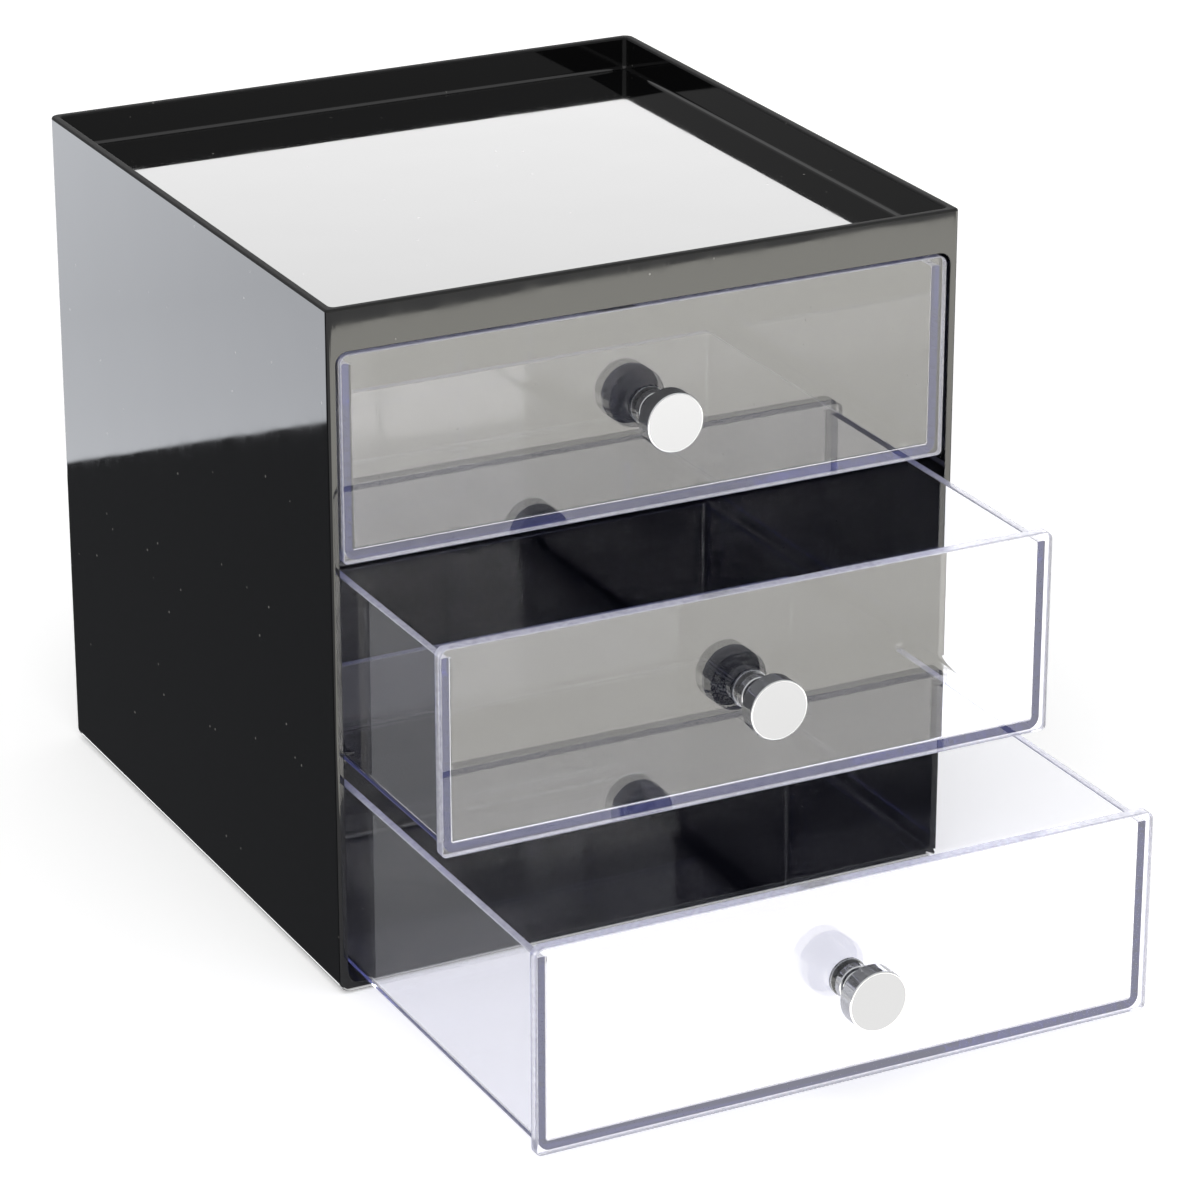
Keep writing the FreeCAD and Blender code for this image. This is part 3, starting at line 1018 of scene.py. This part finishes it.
@dataclass
class Drawer:
    """One clear drawer: an open box moulded in one with its front panel, which is drilled for the knob."""

    bay: Bay
    panel: float = 3.0 * MM
    top_corner: float = 2.3 * MM
    base_corner: float = 1.3 * MM
    edge: float = 0.35 * MM
    side_step: float = 1.2 * MM
    top_step: float = 2.8 * MM
    base_step: float = 0.3 * MM
    wall: float = 1.9 * MM
    floor: float = 2.0 * MM
    corner: float = 3.0 * MM
    inner_corner: float = 1.1 * MM
    front_fillet: float = 0.6 * MM
    rim: float = 0.3 * MM
    rim_fall: float = 0.03 * MM
    hole: float = 2.3 * MM
    corner_steps: int = 8
    rim_steps: int = 3
    fillet_steps: int = 5
    least_corner: float = 0.01 * MM
    weld: float = 0.0001 * MM

    def __post_init__(self) -> None:
        """Reads the drawer's own box and its knob's middle."""
        self.low, self.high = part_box(f"{self.bay.value}_drawer")
        self.back = self.low.y + self.panel
        knob_low, knob_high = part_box(f"{self.bay.value}_knob")
        self.knob_middle = (knob_low + knob_high) / 2
        self.body = f"{self.bay.value}_slider"

    def front(self, y: float, inset: float) -> Outline:
        """Returns the front panel's outline at one depth, drawn in where its edge rounds off."""
        foot, top = self.base_corner - inset, self.top_corner - inset
        return Outline(
            y,
            (self.low.x + inset, self.low.z + inset),
            (self.high.x - inset, self.high.z - inset),
            (foot, foot, top, top),
        )

    def plan(
        self, z: float, inset: float, corner: float, fore: float = 0.0, fore_corner: float = 0.0
    ) -> Outline:
        """Draws the box seen from above at one height.

        Args:
            z: The height.
            inset: How far in from the box's sides and back the outline lies.
            corner: Radius of its two back corners.
            fore: How far behind the front panel it starts.
            fore_corner: Radius of its two front corners.

        Returns:
            The outline.
        """
        return Outline(
            z,
            (self.low.x + self.side_step + inset, self.back + fore),
            (self.high.x - self.side_step - inset, self.high.y - inset),
            (fore_corner, fore_corner, corner, corner),
        )

    def rows(self) -> list[Outline]:
        """Returns the box's outlines, up its outside, over its rim and down its inside."""
        base, top = self.low.z + self.base_step, self.high.z - self.top_step
        inside, floor, fillet = top - self.rim_fall, base + self.floor, self.front_fillet
        foot, rim = quarter(self.corner, self.corner_steps), quarter(self.rim, self.rim_steps)
        rows = [self.plan(base + on, left, self.corner - left) for left, on in foot]
        rows += [self.plan(top - left, on, self.corner - on) for left, on in rim]
        rows += [
            self.plan(inside - on, self.wall - left, self.inner_corner + left, 0.0, fillet)
            for left, on in rim
        ]
        rows += [
            self.plan(floor + left, self.wall + on, self.inner_corner - on, on, max(0.0, fillet - on))
            for left, on in quarter(self.inner_corner, self.fillet_steps)
        ]
        return rows

    def mesh(self) -> bmesh.types.BMesh:
        """Returns the drawer's mesh, one closed skin."""
        bm = bmesh.new()
        loft(bm, Axis.Z, self.rows(), self.corner_steps, least=self.least_corner)
        bmesh.ops.delete(bm, geom=faces_in(bm, Axis.Y, self.back), context="FACES")

        edge = quarter(self.edge, self.rim_steps)
        fore = [self.front(self.low.y + on, left) for left, on in edge]
        aft = [self.front(self.back - on, left) for left, on in edge]
        slab = bmesh.new()
        loft(slab, Axis.Y, [*fore, *reversed(aft)], self.corner_steps)
        ends = faces_in(slab, Axis.Y, self.low.y) + faces_in(slab, Axis.Y, self.back)
        bmesh.ops.delete(slab, geom=ends, context="FACES_ONLY")
        join(bm, slab)
        hole = [
            Matrix.Translation((self.knob_middle.x, y, self.knob_middle.z)) @ ACROSS_Y
            for y in (self.low.y, self.back)
        ]
        bore(bm, self.hole, hole, is_blind=False)
        fill_flat(bm, Axis.Y, self.low.y)
        fill_flat(bm, Axis.Y, self.back)
        bmesh.ops.remove_doubles(bm, verts=bm.verts, dist=self.weld)
        bmesh.ops.recalc_face_normals(bm, faces=bm.faces)
        mark_faces(bm, self.is_edge)
        return bm

    def is_edge(self, middle: Vector) -> bool:
        """Tells whether a face lies on the box's rim or on the panel's narrow sides.

        Args:
            middle: The face's middle.

        Returns:
            Whether it does.
        """
        if middle.y > self.back:
            return middle.z > self.high.z - self.top_step - self.rim
        off_hole = (middle - self.knob_middle).xz
        return self.low.y + TOUCH < middle.y < self.back - TOUCH and off_hole.length > 2 * self.hole

    def build(self, material: bpy.types.Material) -> None:
        """Builds the clear moulding."""
        name = f"{self.bay.value}_drawer"
        finish_piece(self.mesh(), f"{name}_moulding", material, self.body, [name])


@dataclass
class TurnedPart:
    """What a drawer's knob, screw and washer share: the knob's axis, measured from the panel's front."""

    bay: Bay

    def __post_init__(self) -> None:
        """Reads the axis and the panel's front off the knob's box."""
        low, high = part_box(f"{self.bay.value}_knob")
        self.middle, self.front = (low + high) / 2, high.y
        self.body = f"{self.bay.value}_slider"

    def span(self, node: str) -> tuple[float, float, float]:
        """Returns the radius of one of the drawer's nodes, and where it starts and ends on the axis."""
        low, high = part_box(f"{self.bay.value}_{node}")
        return (high.x - low.x) / 2, low.y - self.front, high.y - self.front

    def seated(self, bm: bmesh.types.BMesh) -> bmesh.types.BMesh:
        """Moves a part's mesh from the origin onto the knob's axis and returns it."""
        bmesh.ops.translate(bm, verts=bm.verts, vec=(self.middle.x, self.front, self.middle.z))
        return bm


@dataclass
class Knob(TurnedPart):
    """A chrome knob on the middle of one drawer's front."""

    head: float = 4.8 * MM
    neck: float = 3.6 * MM
    flange: float = 4.6 * MM
    flange_thick: float = 2.4 * MM
    edge: float = 0.35 * MM
    throat: float = 0.8 * MM
    bore: float = 2.05 * MM
    bore_spare: float = 1.0 * MM
    sides: int = 96
    corner_steps: int = 6

    def mesh(self) -> bmesh.types.BMesh:
        """Returns the knob's mesh: a thick flat head, a plain neck and a foot, with its blind bore."""
        bm = bmesh.new()
        radius, face, _ = self.span("knob")
        _, screw_tip, _ = self.span("screw")
        behind, deep = face + self.head, screw_tip - self.bore_spare
        profile = [
            (0.0, face, 0.0),
            (radius, face, self.edge),
            (radius, behind, self.edge),
            (self.neck, behind, self.throat),
            (self.neck, -self.flange_thick, self.throat / 3),
            (self.flange, -self.flange_thick, self.edge),
            (self.flange, 0.0, self.edge / 2),
            (self.bore, 0.0, self.edge / 2),
            (self.bore, deep, 0.0),
            (0.0, deep, 0.0),
        ]
        lathe(bm, profile, self.sides, self.corner_steps)
        # Marks the flat face, which the chrome's colour paints darker as shade.
        mark_faces(bm, lambda middle: lies(middle.y, face))
        return self.seated(bm)

    def build(self, material: bpy.types.Material) -> None:
        """Builds the knob."""
        node = f"{self.bay.value}_knob"
        finish_piece(self.mesh(), f"{node}_handle", material, self.body, [node])


@dataclass
class Washer(TurnedPart):
    """The plain washer under the screw's head, inside the drawer."""

    hole: float = 2.3 * MM
    edge: float = 0.15 * MM
    sides: int = 64
    corner_steps: int = 3

    def mesh(self) -> bmesh.types.BMesh:
        """Returns the washer's mesh."""
        bm = bmesh.new()
        radius, near, far = self.span("washer")
        corners = ((self.hole, near), (radius, near), (radius, far), (self.hole, far))
        lathe(bm, [(*corner, self.edge) for corner in corners], self.sides, self.corner_steps)
        return self.seated(bm)

    def build(self, material: bpy.types.Material) -> None:
        """Builds the washer."""
        name = self.bay.value
        finish_piece(self.mesh(), f"{name}_plain_washer", material, self.body, [f"{name}_washer"])


@dataclass
class Screw(TurnedPart):
    """A pan head machine screw with a cross recess and a rolled thread."""

    shank: float = 1.75 * MM
    point: float = 0.4 * MM
    neck_round: float = 0.1 * MM
    head: float = 3.6 * MM
    head_thick: float = 2.4 * MM
    head_edge: float = 0.2 * MM
    flat_round: float = 0.5 * MM
    shoulder_round: float = 0.4 * MM
    slot: float = 1.0 * MM
    slot_depth: float = 1.3 * MM
    thread: float = 2.0 * MM
    thread_root: float = 0.1 * MM
    thread_start: float = 0.6 * MM
    pitch: float = 0.7 * MM
    # Shares of the head's radius, of its thickness, of the recess's width and, on each side, of the pitch.
    flat: float = 0.62
    slot_reach: float = 0.5
    shoulder: float = 0.45
    slot_taper: float = 0.8
    thread_foot: float = 0.42
    turn_steps: int = 24
    sides: int = 48

    def mesh(self) -> bmesh.types.BMesh:
        """Returns the screw's mesh."""
        bm = bmesh.new()
        _, tip, end = self.span("screw")
        under = end - self.head_thick
        profile = [
            (0.0, tip, 0.0),
            (self.shank - self.point, tip, 0.0),
            (self.shank, tip + self.point, 0.0),
            (self.shank, under, self.neck_round),
            (self.head, under, self.head_edge),
            (self.head, end - self.head_thick * self.shoulder, self.shoulder_round),
            (self.head * self.flat, end, self.flat_round),
            (0.0, end, 0.0),
        ]
        lathe(bm, profile, self.sides)
        self.recess(bm, end)
        self.ridge(bm, tip, under)
        return self.seated(bm)

    def recess(self, bm: bmesh.types.BMesh, end: float) -> None:
        """Sinks the cross recess into the screw's flat end.

        Args:
            bm: The screw's mesh.
            end: Where the flat end lies on the Y axis.
        """
        bmesh.ops.delete(bm, geom=faces_in(bm, Axis.Y, end), context="FACES")
        half, reach, bottom = self.slot / 2, self.head * self.slot_reach, end - self.slot_depth
        made = bmesh.new()
        place = Matrix.Translation((0, bottom, 0)) @ ACROSS_Y
        bmesh.ops.create_grid(made, x_segments=3, y_segments=3, size=reach, matrix=place)
        for vert in made.verts:
            for row in (Axis.X.value, Axis.Z.value):
                if abs(vert.co[row]) < reach - TOUCH:
                    vert.co[row] = math.copysign(half, vert.co[row])
        corners = [face for face in made.faces if min(map(abs, face.calc_center_median().xz)) > half]
        bmesh.ops.delete(made, geom=corners, context="FACES")
        rim = [edge for edge in made.edges if edge.is_boundary]
        raised = bmesh.ops.extrude_edge_only(made, edges=rim)["geom"]
        tops = [item for item in raised if isinstance(item, bmesh.types.BMVert)]
        bmesh.ops.translate(made, verts=tops, vec=(0, self.slot_depth, 0))
        floor = [vert for vert in made.verts if lies(vert.co.y, bottom)]
        bmesh.ops.scale(made, verts=floor, vec=(self.slot_taper, 1, self.slot_taper))
        join(bm, made)
        fill_flat(bm, Axis.Y, end)
        bmesh.ops.recalc_face_normals(bm, faces=bm.faces)

    def ridge(self, bm: bmesh.types.BMesh, tip: float, under: float) -> None:
        """Winds the thread's ridge round the shank.

        Args:
            bm: The screw's mesh.
            tip: Free end of the screw on the Y axis.
            under: Underside of its head.
        """
        turns = int((under - tip) / self.pitch) - 1
        made = bmesh.new()
        root, half = self.shank - self.thread_root, self.pitch * self.thread_foot
        start = tip + self.thread_start
        points = ((root, start - half), (self.thread, start), (root, start + half))
        made.faces.new([made.verts.new((x, y, 0.0)) for x, y in points])
        bmesh.ops.spin(
            made,
            geom=[*made.verts, *made.edges, *made.faces],
            cent=(0, 0, 0),
            axis=(0, 1, 0),
            dvec=(0, self.pitch / self.turn_steps, 0),
            angle=math.tau * turns,
            steps=self.turn_steps * turns,
            use_merge=False,
            use_duplicate=False,
        )
        bmesh.ops.recalc_face_normals(made, faces=made.faces)
        join(bm, made)

    def build(self, material: bpy.types.Material) -> None:
        """Builds the screw."""
        name = self.bay.value
        finish_piece(self.mesh(), f"{name}_pan_screw", material, self.body, [f"{name}_screw"])


# ---------------------------------------------------------------- stage


@dataclass(frozen=True)
class Card:
    """A studio card that only gloss shows, flat on the floor.

    Its light changes with the distance behind the object's middle. Each stop is such a distance and
    the level there, slant turns the lines of even light, and through lets the clear plastic show the
    card too.
    """

    name: str
    low: tuple[float, float]
    high: tuple[float, float]
    stops: tuple[tuple[float, float], ...]
    slant: float = 0.0
    colour: str = "#FFFFFF"
    through: bool = False


@dataclass
class Studio:
    """Plain soft studio: a white floor, an even white surround and the cards that gloss shows."""

    surround: float = 0.72
    sun: float = 0.9
    sun_width: float = math.radians(55)
    sun_turn: tuple[float, float, float] = (math.radians(18), math.radians(-14), 0.0)
    floor_half: float = 6.0
    floor_colour: str = "#F4F4F4"
    floor_grain: Grain = Grain(1.5 * MM, detail=3.0)
    floor_roughness: Slope = Slope(0.3, 0.7, start=0.4, end=0.6)
    floor_lift: float = 0.36
    floor_lift_through: float = 0.6
    white_through: float = 1.3
    bounces: int = 64
    gloss_level: float = 1.0
    glow: float = 4.4
    glow_towards: tuple[float, float, float] = (0.420, 0.826, 0.376)
    glow_full: float = math.radians(15)
    glow_end: float = math.radians(24)
    card_lift: float = 0.05 * MM
    cards: tuple[Card, ...] = (
        Card(
            "card_left",
            (-0.9, -0.086),
            (-0.0846, 1.2),
            ((0.2885, 0.09), (0.2915, 2.5), (0.33, 2.4), (0.42, 2.3), (0.62, 2.6)),
            slant=-0.038,
            colour="#F6F9FF",
        ),
        Card(
            "card_front",
            (-0.2, -0.56),
            (0.9, -0.19),
            ((-0.5, 3.5), (-0.3, 3.0)),
            colour="#FFFDF4",
            through=True,
        ),
        Card("strip_left", (-0.0845, -0.0865), (-0.0834, 0.087), ((-0.1, 3.6), (0.1, 3.6))),
        # The two cards under the case are dim sheets in the gap beneath it: painted shade that gloss shows
        # on the bottom edges.
        Card("shade_under_left", (-0.0834, -0.0862), (-0.077, 0.087), ((-0.1, 0.03), (0.1, 0.03))),
        Card("strip_front", (-0.084, -0.0885), (0.084, -0.0867), ((-0.1, 6.5), (0.1, 6.5))),
        Card("shade_under_front", (-0.077, -0.0867), (0.084, -0.08), ((-0.1, 0.03), (0.1, 0.03))),
    )

    def card_light(self, card: Card) -> bpy.types.Material:
        """Makes the light of one card.

        Args:
            card: The card.

        Returns:
            The finished material.
        """
        material, tree, output = new_material(f"studio {card.name.replace('_', ' ')}")
        place = add_node(tree, "ShaderNodeTexCoord").outputs["Object"]
        back = add_node(
            tree, "ShaderNodeVectorMath", {"operation": "DOT_PRODUCT"}, {0: place, 1: (card.slant, 1.0, 0.0)}
        )
        first, last = card.stops[0][0], card.stops[-1][0]
        most = max(level for _, level in card.stops)
        share = add_node(
            tree, "ShaderNodeMapRange", inputs=Slope(first, last).inputs(back.outputs["Value"])
        )
        ramp = add_node(tree, "ShaderNodeValToRGB", inputs={"Fac": share.outputs[0]})
        while len(ramp.color_ramp.elements) < len(card.stops):
            ramp.color_ramp.elements.new(1.0)
        for stop, (distance, level) in zip(ramp.color_ramp.elements, card.stops):
            stop.position = (distance - first) / (last - first)
            stop.color = (*(part * level / most for part in linear(card.colour)[:3]), 1.0)
        light = add_node(
            tree, "ShaderNodeEmission", inputs={"Color": ramp.outputs["Color"], "Strength": most}
        )
        tree.links.new(light.outputs[0], output.inputs["Surface"])
        return material

    def card(self, card: Card, height: float) -> None:
        """Lays one card.

        Args:
            card: The card.
            height: Its height, just over the floor.
        """
        (left, front), (right, back) = card.low, card.high
        place = Matrix.Translation(((left + right) / 2, (front + back) / 2, height))
        size = Matrix.Diagonal((right - left, back - front, 1, 1))
        bm = bmesh.new()
        bmesh.ops.create_grid(bm, x_segments=1, y_segments=1, size=0.5, matrix=place @ size)
        sheet = self.stand(bm, card.name, self.card_light(card))
        sheet.visible_camera = False
        sheet.visible_diffuse = False
        sheet.visible_transmission = card.through
        sheet.visible_shadow = False

    def stand(self, bm: bmesh.types.BMesh, name: str, material: bpy.types.Material) -> bpy.types.Object:
        """Makes an object of a mesh for the stage.

        Args:
            bm: The mesh, which is freed.
            name: Name of the object.
            material: Its finish.

        Returns:
            The new object.
        """
        sheet = mesh_object(bm, name, material)
        sheet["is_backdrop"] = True
        return sheet

    def paper(self) -> bpy.types.Material:
        """Returns the floor's finish: matt white paper, lifted to white where it is seen."""
        material, tree, output = new_material("matt white studio floor")
        roughness = add_node(
            tree, "ShaderNodeMapRange", inputs=self.floor_roughness.inputs(self.floor_grain.noise(tree))
        )
        matt = add_node(
            tree,
            "ShaderNodeBsdfDiffuse",
            inputs={"Color": linear(self.floor_colour), "Roughness": roughness.outputs[0]},
        )
        # It is seen straight and through the drawers, but not in gloss. Glossy Depth counts whole
        # bounces, so one half tells none from some.
        path = add_node(tree, "ShaderNodeLightPath")
        through = add_node(
            tree,
            "ShaderNodeMath",
            {"operation": "MULTIPLY"},
            {0: path.outputs["Is Transmission Ray"], 1: self.floor_lift_through},
        )
        straight = add_node(
            tree, "ShaderNodeMath", {"operation": "LESS_THAN"}, {0: path.outputs["Glossy Depth"], 1: 0.5}
        )
        seen = add_node(
            tree,
            "ShaderNodeMath",
            {"operation": "MULTIPLY"},
            {0: through.outputs[0], 1: straight.outputs[0]},
        )
        lift = add_node(
            tree,
            "ShaderNodeMath",
            {"operation": "MULTIPLY_ADD"},
            {0: path.outputs["Is Camera Ray"], 1: self.floor_lift, 2: seen.outputs[0]},
        )
        glow = add_node(tree, "ShaderNodeEmission", inputs={"Strength": lift.outputs[0]})
        both = add_node(tree, "ShaderNodeAddShader", inputs={0: matt.outputs[0], 1: glow.outputs[0]})
        tree.links.new(both.outputs[0], output.inputs["Surface"])
        return material

    def floor(self, height: float) -> None:
        """Lays the floor, which keeps the object's shadow.

        Args:
            height: Its height.
        """
        bm = bmesh.new()
        place = Matrix.Translation((0, 0, height))
        bmesh.ops.create_grid(bm, x_segments=1, y_segments=1, size=self.floor_half, matrix=place)
        self.stand(bm, "studio_floor", self.paper())

    def world(self) -> None:
        """Lights the set evenly, white to the camera, with a soft glow at the back right for gloss."""
        world = bpy.data.worlds.new("white studio")
        bpy.context.scene.world = world
        world.use_nodes = True
        tree = world.node_tree
        tree.nodes.clear()
        path = add_node(tree, "ShaderNodeLightPath")
        towards = add_node(tree, "ShaderNodeTexCoord").outputs["Generated"]
        near = add_node(
            tree,
            "ShaderNodeVectorMath",
            {"operation": "DOT_PRODUCT"},
            {0: towards, 1: self.glow_towards},
        )
        slope = Slope(math.cos(self.glow_end), math.cos(self.glow_full), self.gloss_level, self.glow)
        gloss = add_node(tree, "ShaderNodeMapRange", inputs=slope.inputs(near.outputs["Value"]))
        level: float | bpy.types.NodeSocket = self.surround
        for ray, seen in (
            ("Is Camera Ray", 1.0),
            ("Is Transmission Ray", self.white_through),
            ("Is Glossy Ray", gloss.outputs[0]),
        ):
            choice = add_node(
                tree, "ShaderNodeMix", {"data_type": "FLOAT"}, {0: path.outputs[ray], 2: level, 3: seen}
            )
            level = choice.outputs[0]
        light = add_node(tree, "ShaderNodeBackground", inputs={"Strength": level})
        output = add_node(tree, "ShaderNodeOutputWorld")
        tree.links.new(light.outputs[0], output.inputs["Surface"])

    def lamp(self) -> None:
        """Hangs one very wide soft lamp overhead, a little to the front and left."""
        light = bpy.data.lights.new("overhead_soft_lamp", "SUN")
        light.energy = self.sun
        light.angle = self.sun_width
        lamp = add_object("overhead_soft_lamp", light)
        lamp.rotation_euler = self.sun_turn
        lamp.visible_glossy = False

    def build(self, height: float) -> None:
        """Sets up the studio.

        Args:
            height: Height of the floor.
        """
        self.floor(height)
        for card in self.cards:
            self.card(card, height + self.card_lift)
        self.world()
        self.lamp()
        scene = bpy.context.scene
        scene.view_settings.view_transform = "Standard"
        # Light runs far inside the clear walls before it comes out at their edges.
        scene.cycles.max_bounces = self.bounces
        scene.cycles.glossy_bounces = self.bounces
        scene.cycles.transmission_bounces = self.bounces


@dataclass(frozen=True)
class Viewpoint:
    """The camera: a long lens from the front left, looking down on the tray."""

    place: tuple[float, float, float] = (-0.51303, -1.06336, 0.53905)
    turn: float = math.radians(27.08)
    dip: float = math.radians(22.28)
    lens: float = 147.94

    def build(self) -> None:
        """Places the camera and makes it the scene's own."""
        eye = bpy.data.cameras.new("camera")
        eye.lens = self.lens
        camera = add_object("camera", eye)
        camera.location = self.place
        camera.rotation_euler = (math.pi / 2 - self.dip, 0.0, -self.turn)
        bpy.context.scene.camera = camera


def main() -> None:
    """Builds every sub-assembly, the stage and the camera."""
    logging.basicConfig(level=logging.INFO, format="%(message)s")
    solid_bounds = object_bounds()
    black = GlossBlackPolystyrene().build()
    clear = ClearPolystyrene().build()
    chrome = ChromePlating().build()
    steel = ZincPlatedSteel().build()
    rubber = NonSlipRubber().build()
    Case().build(black)
    for corner in Corner:
        Foot(corner).build(rubber)
    for bay in Bay:
        Drawer(bay).build(clear)
        Knob(bay).build(chrome)
        Screw(bay).build(steel)
        Washer(bay).build(steel)
    Studio().build(solid_bounds[0][2])
    Viewpoint().build()


if __name__ == "__main__":
    main()
